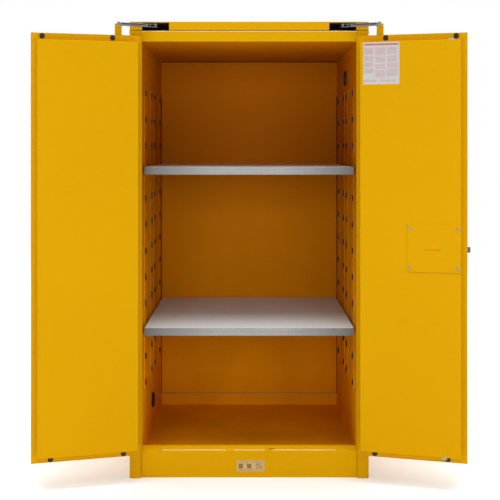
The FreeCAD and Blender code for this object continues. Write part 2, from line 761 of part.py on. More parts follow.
# Door closers --------------------------------------------------------------------------------
STUD_OPEN = V(-340, -416, 0)
ARM_CLOSED = 110.0


def pivot_at(angle):
    """The left arm's pivot with the door open by an angle."""
    local = V(size("bracket_u"), size("bracket_v"), 0)
    return hinge_place(-1, angle).multVec(local)


REACH = STUD_OPEN - pivot_at(size("open_angle"))
ARM_LENGTH = REACH.Length
ARM_OPEN = math.degrees(math.atan2(REACH.y, REACH.x))


def stud_at(angle):
    """The left arm's stud: the arm turns in proportion to the door."""
    turn = math.radians(ARM_CLOSED + (ARM_OPEN - ARM_CLOSED) * angle / size("open_angle"))
    return pivot_at(angle) + V(math.cos(turn), math.sin(turn), 0) * ARM_LENGTH


def mirrored(point, side):
    return V(-side * point.x, point.y, point.z)


ARM_EXTRA = "dims.arm_width / 2"
for word, side in SIDES.items():
    name = f"{word}_arm"
    reach = f"{ARM_LENGTH:.3f}"
    y = ("-dims.arm_width / 2", "dims.arm_width / 2")
    z = ("dims.arm_low", "dims.arm_high")
    gap = inset(z, "2")
    bar = box(name + "_bar", span(-side, f"-{ARM_EXTRA}", f"{reach} + 7"), y, z)
    tools = [
        box(name + "_front", span(-side, "8", f"{reach} - 34"), (y[0] + " - 1", "-1"), gap),
        box(name + "_fork", span(-side, f"{reach} - 30", f"{reach} + 9"),
            (y[0] + " - 1", y[1] + " + 1"), gap),
        rod(name + "_eye", "dims.stud_radius + 0.05", "20", ("0", "0", "dims.arm_low - 3")),
    ]
    end = f"{-side} * {reach}"
    stud = rod(name + "_stud", "dims.stud_radius", "18", (end, "0", "dims.arm_low"))
    roller = rod(name + "_roller", "4.5", "8", (end, "0", "dims.arm_low + 2"))
    rivet_x = f"{-side} * ({reach} - 20)"
    rivet = rod(name + "_rivet", "2", "10", (rivet_x, "0", "dims.arm_low + 1"))
    arm = join(name, [cut(name + "_cut", bar, tools), stud, roller, rivet])
    turn = -side * ARM_OPEN
    arm.Placement = FreeCAD.Placement(
        mirrored(pivot_at(size("open_angle")), side), FreeCAD.Rotation(UP, turn)
    )
    keep(arm, f"closer_arm_{word}")


def slot_outline(half_width, side):
    """The curved slot that the stud follows, as a closed wire."""
    steps = 12
    step = size("open_angle") / steps
    middle = [mirrored(stud_at(number * step), side) for number in range(steps + 1)]
    headings = [
        (middle[min(number + 1, steps)] - middle[max(number - 1, 0)]).normalize()
        for number in range(steps + 1)
    ]
    edges = []
    rows = []
    for sign in (1, -1):
        row = [
            point + V(-heading.y, heading.x, 0) * sign * half_width
            for point, heading in zip(middle, headings)
        ]
        curve = Part.BSplineCurve()
        curve.interpolate(row)
        rows.append(row)
        edges.append(curve.toShape())
    for end, outward in ((0, -1), (-1, 1)):
        crown = middle[end] + headings[end] * outward * half_width
        edges.append(Part.Arc(rows[0][end], crown, rows[1][end]).toShape())
    return Part.Wire(Part.__sortEdges__(edges))


TRACK_LOW = size("arm_high") + 2.5
TRACK_X = (285, 400)
TRACK_Y = (-420, -268)
TRACK_GAUGE = 2.0
SLOT_PLAY = 0.6
HANGERS = ((392, -410), (392, -280), (294, -280))
HANGER_LENGTH = size("height") - size("gauge") - TRACK_LOW - TRACK_GAUGE
for word, side in SIDES.items():
    near_x = TRACK_X[0] if side > 0 else -TRACK_X[1]
    slab = Part.makeBox(
        TRACK_X[1] - TRACK_X[0], TRACK_Y[1] - TRACK_Y[0], TRACK_GAUGE,
        V(near_x, TRACK_Y[0], TRACK_LOW),
    )
    opening = Part.Face(slot_outline(size("stud_radius") + SLOT_PLAY, side))
    opening.translate(V(0, 0, TRACK_LOW - 1))
    slab = slab.cut(opening.extrude(V(0, 0, TRACK_GAUGE + 2)))
    hangers = [
        Part.makeCylinder(5, HANGER_LENGTH, V(side * x, y, TRACK_LOW + TRACK_GAUGE))
        for x, y in HANGERS
    ]
    track = doc.addObject("Part::Feature", f"{word}_track")
    track.Shape = slab.multiFuse(hangers).removeSplitter()
    keep(track, f"closer_track_{word}")

# Constant-force spring drums that draw the arm studs back, and fusible links that hold them
drums = []
links = []
for word, side in SIDES.items():
    drum_x = f"{side} * dims.drum_x"
    drum = rod(f"drum_{word}", "22", "22", (drum_x, "dims.drum_y", f"{DECK} + 1"))
    post = rod(f"drum_post_{word}", "4", "30", (drum_x, "dims.drum_y", DECK))
    drums.append(join(f"spring_drum_{word}", [drum, post]))
    links.append(
        box(f"link_{word}", span(side, "350", "372"), ("-400", "-392"),
            (f"{TRACK_LOW} + {TRACK_GAUGE}", f"{TRACK_LOW} + {TRACK_GAUGE} + 1.5"))
    )
keep(group("drum_set", drums), "closer_springs")
keep(group("link_set", links), "fusible_links")

# Check every object and write the sub-parts --------------------------------------------------
doc.recompute()
for thing in doc.Objects:
    if "Invalid" in thing.State or "Error" in thing.State:
        raise RuntimeError(f"{thing.Name} ({thing.Label}): {thing.State}")
os.makedirs("parts", exist_ok=True)
for node in nodes:
    shape = node.Shape
    if shape.isNull() or not shape.isValid():
        raise RuntimeError(f"{node.Label} has no valid shape")
    shape.exportStep(f"parts/{node.Label}.step")
    print(f"{node.Label:26s} solids {len(shape.Solids):3d} volume {shape.Volume / 1000:10.2f} cm3")
print(len(nodes), "sub-parts; arm", round(ARM_LENGTH, 3), "open", round(ARM_OPEN, 3))
for word, point in (("pivot open", pivot_at(size("open_angle"))), ("stud open", STUD_OPEN)):
    print(word, [round(value, 3) for value in point])
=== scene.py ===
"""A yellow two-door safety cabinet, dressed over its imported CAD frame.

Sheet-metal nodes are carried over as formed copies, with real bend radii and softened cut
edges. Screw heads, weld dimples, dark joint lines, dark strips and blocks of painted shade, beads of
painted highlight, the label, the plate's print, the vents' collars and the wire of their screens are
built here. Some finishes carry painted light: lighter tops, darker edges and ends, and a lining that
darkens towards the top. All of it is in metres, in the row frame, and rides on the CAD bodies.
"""
import json
import math

import bmesh
import bpy
from mathutils import Matrix, Vector

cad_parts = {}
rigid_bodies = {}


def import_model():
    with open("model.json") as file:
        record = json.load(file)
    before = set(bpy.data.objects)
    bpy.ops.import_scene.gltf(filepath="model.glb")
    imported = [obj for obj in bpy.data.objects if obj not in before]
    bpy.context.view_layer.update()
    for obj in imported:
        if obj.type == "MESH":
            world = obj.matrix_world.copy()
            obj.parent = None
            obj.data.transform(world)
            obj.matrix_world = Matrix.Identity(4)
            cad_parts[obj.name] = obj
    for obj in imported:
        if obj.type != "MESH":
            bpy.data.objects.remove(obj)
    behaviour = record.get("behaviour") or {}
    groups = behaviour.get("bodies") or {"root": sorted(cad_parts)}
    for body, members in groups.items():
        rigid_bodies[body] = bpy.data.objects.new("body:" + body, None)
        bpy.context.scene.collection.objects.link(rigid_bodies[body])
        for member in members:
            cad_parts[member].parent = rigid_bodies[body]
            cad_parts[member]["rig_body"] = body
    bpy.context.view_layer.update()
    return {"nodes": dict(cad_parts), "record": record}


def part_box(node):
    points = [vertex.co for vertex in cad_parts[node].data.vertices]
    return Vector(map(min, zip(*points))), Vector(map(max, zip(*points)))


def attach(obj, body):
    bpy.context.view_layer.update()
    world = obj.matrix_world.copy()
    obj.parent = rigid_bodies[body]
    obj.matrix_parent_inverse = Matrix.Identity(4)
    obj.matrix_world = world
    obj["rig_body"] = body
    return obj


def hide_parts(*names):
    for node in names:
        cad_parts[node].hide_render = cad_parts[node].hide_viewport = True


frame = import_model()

NODES = frame["nodes"]
SLOTS = {part["node"]: part["material_slot"] for part in frame["record"]["subparts"]}
SIDES = {"left": -1, "right": 1}
OPEN_ANGLE = math.radians(165)

# Materials ------------------------------------------------------------------------------------


class Finish:
    """A procedural material, with helpers that add its nodes."""

    def __init__(self, name, metallic=0.0, specular=0.5):
        self.material = bpy.data.materials.new(name)
        self.material.use_nodes = True
        self.tree = self.material.node_tree
        self.shader = self.tree.nodes["Principled BSDF"]
        self.shader.inputs["Metallic"].default_value = metallic
        self.shader.inputs["Specular IOR Level"].default_value = specular
        self.place = self.node("ShaderNodeTexCoord").outputs["Object"]

    def node(self, kind, **settings):
        made = self.tree.nodes.new(kind)
        for key, value in settings.items():
            setattr(made, key, value)
        return made

    def link(self, source, target):
        self.tree.links.new(source, target)

    def stretched(self, factors):
        """The place on the surface, scaled along each axis."""
        mapping = self.node("ShaderNodeMapping")
        mapping.inputs["Scale"].default_value = factors
        self.link(self.place, mapping.inputs["Vector"])
        return mapping.outputs["Vector"]

    def noise(self, scale, detail=2.0, place=None):
        made = self.node("ShaderNodeTexNoise")
        made.inputs["Scale"].default_value = scale
        made.inputs["Detail"].default_value = detail
        self.link(place or self.place, made.inputs["Vector"])
        return made.outputs["Fac"]

    def cells(self, scale):
        """How far each place is from the middle of its cell."""
        made = self.node("ShaderNodeTexVoronoi")
        made.inputs["Scale"].default_value = scale
        self.link(self.place, made.inputs["Vector"])
        return made.outputs["Distance"]

    def spread(self, value, low, high, start=0.3, end=0.7):
        """Maps a pattern onto a range of numbers."""
        made = self.node("ShaderNodeMapRange")
        made.inputs["From Min"].default_value = start
        made.inputs["From Max"].default_value = end
        made.inputs["To Min"].default_value = low
        made.inputs["To Max"].default_value = high
        self.link(value, made.inputs["Value"])
        return made.outputs["Result"]

    def blend(self, amount, first, second):
        """Mixes two colours, either of which may come from another node."""
        made = self.node("ShaderNodeMix", data_type="RGBA")
        self.link(amount, made.inputs["Factor"])
        for name, colour in (("A", first), ("B", second)):
            socket = [s for s in made.inputs if s.name == name and s.type == "RGBA"][0]
            if isinstance(colour, tuple):
                socket.default_value = (*colour, 1.0)
            else:
                self.link(colour, socket)
        return [s for s in made.outputs if s.type == "RGBA"][0]

    def colour(self, source):
        self.link(source, self.shader.inputs["Base Color"])

    def roughness(self, source):
        self.link(source, self.shader.inputs["Roughness"])

    def bump(self, height, depth, strength):
        made = self.node("ShaderNodeBump")
        made.inputs["Strength"].default_value = strength
        made.inputs["Distance"].default_value = depth
        self.link(height, made.inputs["Height"])
        self.link(made.outputs["Normal"], self.shader.inputs["Normal"])


COAT_PEEL = 650.0
DULLED = 0.9


def orange_peel(made):
    """The fine dimpled skin of sprayed and baked paint."""
    made.bump(made.noise(COAT_PEEL, 1.0), 0.0003, 0.12)


def powder_coat(name, main, shade, rough, specular):
    """Sprayed and baked paint: orange peel, faint unevenness and light handling scuffs."""
    made = Finish(name, specular=specular)
    drift = made.spread(made.noise(1.6), 0.0, 1.0)
    tint = made.blend(drift, main, shade)
    scuffs = made.noise(14.0, 5.0, made.stretched((1.0, 1.0, 5.0)))
    dulled = tuple(channel * DULLED for channel in shade)
    made.colour(made.blend(made.spread(scuffs, 0.0, 0.35, 0.62, 0.85), tint, dulled))
    made.roughness(made.spread(scuffs, rough, rough + 0.16, 0.35, 0.8))
    orange_peel(made)
    return made.material


# Heights over which the lining's painted shade deepens
LINING_SHADE_Z = (0.30, 1.10)


def lining_coat_with_shade(name, low, high):
    """The same paint inside, with painted shade: its colour deepens from the low end of its height
    span to the high end, darker towards the top.
    """
    made = Finish(name, specular=0.04)
    height = made.node("ShaderNodeSeparateXYZ")
    made.link(made.place, height.inputs["Vector"])
    # Painted shade: darker with height
    shade_rise = made.spread(height.outputs["Z"], 0.0, 1.0, *LINING_SHADE_Z)
    tint = made.blend(shade_rise, low, high)
    drift = made.noise(3.0, 4.0, made.stretched((1.0, 1.0, 0.4)))
    dulled = tuple(channel * DULLED for channel in high)
    made.colour(made.blend(made.spread(drift, 0.0, 0.4, 0.4, 0.8), tint, dulled))
    made.roughness(made.spread(drift, 0.5, 0.66))
    orange_peel(made)
    return made.material


# Distances from the middle over which painted shade darkens galvanised sheet towards its ends
END_SHADE_X = (0.12, 0.38)


def galvanised(name, main, shade, pale, metallic, end_shade_factor=1.0):
    """Zinc-coated sheet: faint spangle and rolling streaks, with painted shade that darkens it
    towards its ends.
    """
    made = Finish(name, metallic=metallic, specular=0.1)
    spangle = made.spread(made.cells(70.0), 0.0, 1.0, 0.0, 0.8)
    streaks = made.noise(30.0, 3.0, made.stretched((0.25, 4.0, 4.0)))
    tint = made.blend(spangle, main, shade)
    streaked = made.blend(made.spread(streaks, 0.0, 0.5), tint, pale)
    across = made.node("ShaderNodeSeparateXYZ")
    made.link(made.place, across.inputs["Vector"])
    off_centre = made.node("ShaderNodeMath", operation="ABSOLUTE")
    made.link(across.outputs["X"], off_centre.inputs[0])
    # Painted shade: darker away from the middle along X
    dulled = tuple(channel * end_shade_factor for channel in shade)
    end_shade = made.spread(off_centre.outputs["Value"], 0.0, 1.0, *END_SHADE_X)
    made.colour(made.blend(end_shade, streaked, dulled))
    made.roughness(made.spread(streaks, 0.42, 0.56))
    made.bump(streaks, 0.0002, 0.15)
    return made.material


def plated(name, main, shade, rough=0.3):
    """Plated or turned metal with fine brushing and tarnish."""
    made = Finish(name, metallic=1.0)
    brushed = made.noise(240.0, 3.0, made.stretched((1.0, 1.0, 0.12)))
    tarnish = made.noise(60.0, 4.0)
    made.colour(made.blend(made.spread(tarnish, 0.0, 1.0, 0.4, 0.75), main, shade))
    made.roughness(made.spread(brushed, rough, rough + 0.2))
    made.bump(brushed, 0.0001, 0.3)
    return made.material


def moulded(name, main, rough):
    """Rubber or plastic with a fine moulded grain and pale dust."""
    made = Finish(name, specular=0.35)
    dust = made.spread(made.noise(45.0, 4.0), 0.0, 0.4, 0.5, 0.8)
    pale = tuple(channel + 0.03 for channel in main)
    made.colour(made.blend(dust, main, pale))
    made.roughness(made.spread(made.noise(120.0), rough, rough + 0.2))
    made.bump(made.noise(900.0), 0.0002, 0.4)
    return made.material


def printed(name, main, shade, rough=0.5):
    """Printed paper or foil with a light mottle."""
    made = Finish(name, specular=0.3)
    made.colour(made.blend(made.spread(made.noise(85.0, 4.0), 0.0, 1.0), main, shade))
    made.roughness(made.spread(made.noise(30.0), rough, rough + 0.15))
    made.bump(made.noise(400.0), 0.0001, 0.2)
    return made.material


YELLOW = powder_coat("yellow_powder_coat", (0.645, 0.328, 0.0), (0.625, 0.316, 0.0), 0.52, 0.03)
# Lining paint: light low down, darker high up as painted shade
LINING = lining_coat_with_shade("lining_coat_painted_shade", (0.97, 0.39, 0.0), (0.57, 0.175, 0.0))
# Pale paint for beads that stand as painted highlights along edges
HIGHLIGHT_PAINT = powder_coat("painted_highlight_edge", (0.95, 0.78, 0.42), (0.93, 0.70, 0.30), 0.3, 0.5)
# Latch bolt: a dark brown body as painted shade and a pale top as painted highlight
BOLT_SHADED_BODY = plated("bolt_body_painted_shade", (0.17, 0.13, 0.12), (0.10, 0.08, 0.07), 0.4)
BOLT_LIT_TOP = plated("bolt_top_painted_highlight", (0.60, 0.62, 0.60), (0.48, 0.49, 0.48))
# Sill top: a lighter, glossier copy of the yellow paint, the lighter colour a painted highlight
SILL_LIT_TOP = powder_coat("sill_top_painted_highlight", (0.86, 0.46, 0.0), (0.82, 0.43, 0.0), 0.32, 0.2)
# Shelf tops: a lighter copy of the galvanised finish, as painted light on the faces that point up
SHELF_LIT_TOP = galvanised(
    "galvanised_top_painted_light", (0.72, 0.75, 0.77), (0.67, 0.70, 0.72), (0.76, 0.79, 0.81), 0.0,
)
FINISHES = {
    "yellow": YELLOW,
    # Shelf edges: a darker copy of the galvanised finish, as painted shade, also darkened towards the
    # ends
    "shelf": galvanised(
        "galvanised_edge_painted_shade", (0.33, 0.33, 0.325), (0.29, 0.29, 0.29), (0.40, 0.395, 0.39), 0.2, 0.55,
    ),
    "zinc": plated("zinc_plate", (0.34, 0.345, 0.36), (0.24, 0.245, 0.26)),
    "dark_steel": moulded("brown_primer", (0.05, 0.020, 0.010), 0.6),
    "brass": plated("satin_brass", (0.62, 0.43, 0.16), (0.44, 0.29, 0.10), 0.32),
    "bumper": moulded("black_rubber", (0.016, 0.016, 0.017), 0.6),
    "vent": moulded("black_moulding", (0.014, 0.014, 0.015), 0.45),
    "handle": powder_coat("black_enamel", (0.02, 0.02, 0.021), (0.028, 0.028, 0.029), 0.34, 0.3),
    "plate": printed("tan_foil", (0.60, 0.40, 0.17), (0.53, 0.35, 0.14), 0.4),
}
PAPER = printed("label_paper", (0.52, 0.51, 0.51), (0.48, 0.475, 0.475))
RED_INK = printed("label_red", (0.52, 0.13, 0.13), (0.45, 0.12, 0.12))
PINK_INK = printed("label_pink", (0.53, 0.41, 0.41), (0.46, 0.36, 0.36))
DARK_INK = printed("plate_ink", (0.26, 0.15, 0.06), (0.20, 0.12, 0.05))
# Brown strips as painted shadow under the latch cover's edges
SHADOW_STRIP = moulded("shadow_gap", (0.36, 0.15, 0.001), 0.7)
# Near-black strips: joint lines at the base, painted shade in the lining's corners
JOINT_AND_CORNER_SHADE = moulded("dark_joint_and_painted_shade", (0.03, 0.012, 0.001), 0.8)

# Carrying CAD shapes over with bends ----------------------------------------------------------


def show(name, mesh, material, body):
    """Puts a finished mesh in the scene on its body."""
    piece = bpy.data.objects.new(name, mesh)
    bpy.context.scene.collection.objects.link(piece)
    piece.data.materials.clear()
    piece.data.materials.append(material)
    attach(piece, body)
    return piece


CURVED = (math.radians(1), math.radians(32))
OUTER_BEND, INNER_BEND, CUT = 1, 2, 3
INNER_SHARE = 0.4
MERGE_DISTANCE = 2e-5
UPWARD = 0.9


def flat_regions(work):
    """The corners of the flat region that each face belongs to, by face index."""
    region = {}
    for first in work.faces:
        if first.index in region:
            continue
        corners = set()
        waiting = [first]
        region[first.index] = corners
        while waiting:
            face = waiting.pop()
            corners.update(face.verts)
            for edge in face.edges:
                for other in edge.link_faces:
                    level = other.normal.dot(face.normal) > math.cos(CURVED[0])
                    if level and other.index not in region:
                        region[other.index] = corners
                        waiting.append(other)
    return region


def reach(face, edge, corners):
    """How far a flat region runs away from an edge of one of its faces."""
    start = edge.verts[0].co
    along = (edge.verts[1].co - start).normalized()
    across = face.normal.cross(along)
    return max(abs((vert.co - start).dot(across)) for vert in corners)


def curved(face):
    """True for a facet of a curved surface."""
    return any(
        len(edge.link_faces) == 2 and CURVED[0] < edge.calc_face_angle() < CURVED[1]
        for edge in face.edges
    )


def soften(mesh, bend, cut_edge, wide, segments):
    """Rounds a mesh's edges: folds in wide sheet by the bend, cut edges lightly."""
    work = bmesh.new()
    work.from_mesh(mesh)
    bmesh.ops.remove_doubles(work, verts=work.verts, dist=MERGE_DISTANCE)
    bmesh.ops.join_triangles(
        work, faces=work.faces, angle_face_threshold=CURVED[0], angle_shape_threshold=math.pi,
    )
    work.faces.index_update()
    regions = flat_regions(work)
    kind = work.edges.layers.int.new("edge_kind")
    for edge in work.edges:
        if len(edge.link_faces) != 2 or edge.calc_face_angle() < CURVED[1]:
            continue
        if min(reach(face, edge, regions[face.index]) for face in edge.link_faces) < wide:
            edge[kind] = CUT
        elif edge.is_convex:
            edge[kind] = OUTER_BEND
        else:
            edge[kind] = INNER_BEND
    for face in work.faces:
        face.smooth = curved(face)
    for wanted, width in ((OUTER_BEND, bend), (INNER_BEND, bend * INNER_SHARE), (CUT, cut_edge)):
        edges = [edge for edge in work.edges if edge[kind] == wanted]
        made = bmesh.ops.bevel(
            work, geom=edges, offset=width, offset_type="OFFSET", segments=segments,
            profile=0.5, affect="EDGES", clamp_overlap=True,
        )
        for edge in {edge for face in made["faces"] for edge in face.edges}:
            if edge[kind] == wanted:
                edge[kind] = 0
        for face in made["faces"]:
            face.smooth = True
    work.to_mesh(mesh)
    work.free()


def formed(node, bend=0.0016, cut_edge=0.00025, wide=0.004, material=None, segments=3):
    """A copy of a CAD node with rounded bends, standing for that node."""
    mesh = NODES[node].data.copy()
    soften(mesh, bend, cut_edge, wide, segments)
    body = NODES[node]["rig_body"]
    piece = show(f"{node}_formed", mesh, material or FINISHES[SLOTS[node]], body)
    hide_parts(node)
    return piece


def paint_lit_tops(piece, material):
    """Gives the faces that point up their own, lighter material, as painted light on the tops."""
    piece.data.materials.append(material)
    for face in piece.data.polygons:
        face.material_index = int(face.normal.z > UPWARD)


SHEETS = [
    "outer_side_left", "outer_side_right", "stile_left", "stile_right", "outer_back",
    "base_plate", "deck_plate", "top_rail", "top_cover",
    "left_door_outer", "right_door_outer", "latch_cover", "left_closer_bracket",
    "right_closer_bracket", "rating_plate",
]
LININGS = ["inner_side_left", "inner_side_right", "inner_back", "inner_ceiling", "sump_pan"]
THICK = ["latch_strike", "handle_plate", "closer_arm_left", "closer_arm_right"]
for node in SHEETS:
    formed(node)
# The sill's top faces get the lighter paint as painted highlight
paint_lit_tops(formed("sill_kick_panel"), SILL_LIT_TOP)
for node in LININGS:
    formed(node, material=LINING)
for word in SIDES:
    formed(f"{word}_door_inner", bend=0.003)
    formed(f"shelf_standards_{word}", bend=0.0012, cut_edge=0.0003, material=LINING)
    formed(f"{word}_door_bumpers", bend=0.0012, wide=0.0005)
for node in ("shelf_upper", "shelf_lower"):
    # Shelf tops get the lighter finish and their edges the darker one, as painted light and shade
    paint_lit_tops(formed(node, bend=0.0025), SHELF_LIT_TOP)
for node in THICK:
    formed(node, bend=0.0008, cut_edge=0.0004)
# The bolt's body is dark as painted shade, its top pale as painted highlight
paint_lit_tops(formed("latch_bolt", bend=0.0008, cut_edge=0.0004, material=BOLT_SHADED_BODY), BOLT_LIT_TOP)
formed("latch_handle", bend=0.004, cut_edge=0.0035, wide=0.01, segments=5)
formed("vent_caps", bend=0.002, wide=0.003)

for name, thing in NODES.items():
    thing.data.materials.clear()
    thing.data.materials.append(FINISHES[SLOTS[name]])

# Small parts ----------------------------------------------------------------------------------


pins = [vert.co for vert in NODES["hinge_pins"].data.vertices]
AXIS_Y = sum(co.y for co in pins) / len(pins)
AXIS_X = sum(abs(co.x) for co in pins) / len(pins)


def door_frame(side):
    """Carries a point from a door's own frame to the open door."""
    return Matrix.Translation((side * AXIS_X, AXIS_Y, 0)) @ Matrix.Rotation(
        side * OPEN_ANGLE, 4, "Z"
    )


def on_door(side, u, v, z):
    """A place on an open door: u from the hinge, v into the cabinet when closed."""
    return door_frame(side) @ Matrix.Translation((-side * u, v, z)) @ Matrix.Rotation(
        math.radians(-90), 4, "X"
    )


def turned_rows(work, place, profile, around):
    """Rows of vertices round the place's Z axis, one for each (radius, height) pair."""
    return [
        [
            work.verts.new(place @ Vector((
                radius * math.cos(math.tau * step / around),
                radius * math.sin(math.tau * step / around), height,
            )))
            for step in range(around)
        ]
        for radius, height in profile
    ]


def join_rows(work, lower, upper):
    """Faces between each row and the one above it."""
    for low, high in zip(lower, upper):
        for step in range(len(low)):
            after = (step + 1) % len(low)
            work.faces.new((low[step], low[after], high[after], high[step]))


DOME_RINGS = 4


def dome(work, place, radius, height, around=20):
    """A shallow pressed dome standing on the place's XY plane."""
    angles = [math.pi / 2 * number / DOME_RINGS for number in range(DOME_RINGS)]
    profile = [(radius * math.cos(angle), height * math.sin(angle)) for angle in angles]
    rows = turned_rows(work, place, profile, around)
    crown = work.verts.new(place @ Vector((0, 0, height)))
    join_rows(work, rows, rows[1:])
    for step in range(around):
        work.faces.new((rows[-1][step], rows[-1][(step + 1) % around], crown))
    work.faces.new(reversed(rows[0]))


def finish_mesh(work, name, smooth=True):
    """Turns the work into a mesh with its faces pointing outwards."""
    bmesh.ops.recalc_face_normals(work, faces=work.faces)
    for face in work.faces:
        face.smooth = smooth
    mesh = bpy.data.meshes.new(name)
    work.to_mesh(mesh)
    work.free()
    return mesh


def lathe(work, place, profile, around=28):
    """A turned shape from (radius, height) pairs, closed at both ends."""
    rows = turned_rows(work, place, profile, around)
    join_rows(work, rows, rows[1:])
    work.faces.new(reversed(rows[0]))
    work.faces.new(rows[-1])


def ring(work, place, profile, around=36):
    """A turned ring from (radius, height) pairs, open at its middle."""
    closed = (*profile, (profile[-1][0], profile[0][1]))
    rows = turned_rows(work, place, closed, around)
    join_rows(work, rows, (*rows[1:], rows[0]))


def slab(work, place, low, high):
    """A block between two corners."""
    made = bmesh.ops.create_cube(work, size=1.0)["verts"]
    for vert in made:
        vert.co = place @ Vector([
            low[axis] if vert.co[axis] < 0 else high[axis] for axis in range(3)
        ])


def screw_head(work, place, radius, height, cross):
    """A pan head with a cross recess shown by four raised quadrants."""
    lathe(work, place, [
        (radius, 0.0), (radius, height * 0.35), (radius * 0.93, height * 0.62),
        (radius * 0.72, height * 0.8), (radius * 0.70, height * 0.62), (radius * 0.1, height * 0.6),
    ])
    arm = radius * 0.62
    for turn in range(4):
        quadrant = place @ Matrix.Rotation(math.pi / 2 * turn, 4, "Z")
        slab(work, quadrant, (cross, cross, height * 0.55), (arm * 0.8, arm * 0.8, height * 0.86))


STANDARDS = (-0.3025, -0.0785, 0.0465, 0.2705)
SLOT_COUNT = 12
SLOT_PITCH = 0.0984
FIRST_SLOT = 0.024
SHELF_SLOTS = (3, 9)
PANEL = 0.050

VENT_Y = -0.016
VENT_Z = {"left": 0.177, "right": 1.475}

# Painted spot-weld dimples along both ledges of each door
DOOR_LOW, DOOR_HIGH = (corner.z for corner in map(Vector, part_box("left_door_hinge_leaf")))
LEDGE = 0.010
LEDGE_MIDDLES = (0.0095, 0.3785)
DIMPLES = 5
DIMPLE_END = 0.025
DIMPLE_RADIUS = 0.004
DIMPLE_HEIGHT = 0.0011
SUNK = 0.0001
for word, side in SIDES.items():
    work = bmesh.new()
    for u in LEDGE_MIDDLES:
        for number in range(DIMPLES):
            run = DOOR_HIGH - DOOR_LOW - 2 * DIMPLE_END
            z = DOOR_LOW + DIMPLE_END + run * number / (DIMPLES - 1)
            dome(work, on_door(side, u, LEDGE - SUNK, z), DIMPLE_RADIUS, DIMPLE_HEIGHT)
    name = f"{word}_weld_dimples"
    show(name, finish_mesh(work, name), YELLOW, f"{word}_door")

# Painted spot welds down the edges of the outer skins
back_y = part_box("outer_back")[1][1]
side_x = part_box("outer_side_right")[1][0]
top_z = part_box("top_cover")[0][2]
WELD_INSET = 0.014
WELD_END = 0.05
WELD_HEIGHT = 0.0006
WELDS = 9
work = bmesh.new()
for number in range(WELDS):
    z = WELD_END + (top_z - 2 * WELD_END) * number / (WELDS - 1)
    for side in SIDES.values():
        facing_back = Matrix.Rotation(math.radians(-90), 4, "X")
        at_back = Matrix.Translation((side * (side_x - WELD_INSET), back_y - SUNK, z))
        dome(work, at_back @ facing_back, DIMPLE_RADIUS, WELD_HEIGHT)
        facing_side = Matrix.Rotation(math.radians(90 * side), 4, "Y")
        for y in (WELD_INSET - back_y, back_y - WELD_INSET):
            at_side = Matrix.Translation((side * (side_x - SUNK), y, z))
            dome(work, at_side @ facing_side, DIMPLE_RADIUS, WELD_HEIGHT)
show("shell_weld_dimples", finish_mesh(work, "shell_weld_dimples"), YELLOW, "cabinet")

# Screws of the latch cover
COVER_FACE = 0.0515
SCREW_U = (0.1915, 0.358)
SCREW_Z = (0.774, 0.911)
SCREW_RADIUS = 0.005
SCREW_HEIGHT = 0.0026
CROSS_HALF = 0.0007
work = bmesh.new()
for u in SCREW_U:
    for z in SCREW_Z:
        screw_head(work, on_door(1, u, COVER_FACE, z), SCREW_RADIUS, SCREW_HEIGHT, CROSS_HALF)
heads = show("latch_cover_screw_heads", finish_mesh(work, "latch_cover_screw_heads", False),
             FINISHES["zinc"], "right_door")
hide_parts("latch_cover_screws")

# Dark blocks in the slots of the shelf standards, as painted shade in their hollows, left out where a
# shelf sits
SLOT_SHADE = Vector((0.0050, 0.0080, 0.0210))
WALL_GAP = 0.0003
for word, side in SIDES.items():
    low, high = map(Vector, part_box(f"shelf_standards_{word}"))
    face = high.x if side < 0 else low.x
    wall = low.x if side < 0 else high.x
    across = sorted((face - side * SLOT_SHADE.x, wall - side * WALL_GAP))
    work = bmesh.new()
    for middle in STANDARDS:
        for number in range(SLOT_COUNT):
            z = high.z - FIRST_SLOT - number * SLOT_PITCH
            if number in SHELF_SLOTS:
                continue
            slab(work, Matrix.Identity(4), (across[0], middle - SLOT_SHADE.y / 2, z - SLOT_SHADE.z / 2),
                 (across[1], middle + SLOT_SHADE.y / 2, z + SLOT_SHADE.z / 2))
    show(f"slot_shade_blocks_{word}", finish_mesh(work, f"slot_shade_blocks_{word}", False),
         FINISHES["bumper"], "cabinet")

# Dark strips: joint lines beside the kick panel, and painted shade in the corners round the back of
# the lining
PROUD = 0.0002
kick_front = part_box("sill_kick_panel")[0][1]
back_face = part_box("inner_back")[0][1]
ceiling_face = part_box("inner_ceiling")[0][2]
inner_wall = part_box("inner_side_right")[0][0]
sump_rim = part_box("sump_pan")[1][2]


def dark_strips(name, boxes):
    """Thin dark strips, each between two corners."""
    work = bmesh.new()
    for low, high in boxes:
        slab(work, Matrix.Identity(4), low, high)
    show(name, finish_mesh(work, name, False), JOINT_AND_CORNER_SHADE, "cabinet")


BASE_SEAM_HALF, BASE_SEAM_Z = 0.0009, (0.022, 0.099)
CORNER_SHADE_HALF, CORNER_SHADE_Z = 0.0012, (0.060, 1.425)
CORNER_SHADE_INSET = 0.0014
SHADE_DEPTH = 0.0008

dark_strips("base_seams", [
    ((x - BASE_SEAM_HALF, kick_front - PROUD, BASE_SEAM_Z[0]),
     (x + BASE_SEAM_HALF, kick_front + PROUD, BASE_SEAM_Z[1]))
    for x in (-inner_wall, inner_wall)
])
# Painted shade: dark strips down the back corners, along the ceiling and above the sump's rim
dark_strips("lining_corner_shade", [
    ((x - CORNER_SHADE_HALF, back_face - SHADE_DEPTH, CORNER_SHADE_Z[0]),
     (x + CORNER_SHADE_HALF, back_face, CORNER_SHADE_Z[1]))
    for x in (CORNER_SHADE_INSET - inner_wall, inner_wall - CORNER_SHADE_INSET)
] + [
    ((-inner_wall, back_face - SHADE_DEPTH, ceiling_face - 0.0042),
     (inner_wall, back_face, ceiling_face - 0.0004)),
    ((-inner_wall, back_face - 0.0020, sump_rim + 0.0001),
     (inner_wall, back_face, sump_rim + 0.0016)),
])

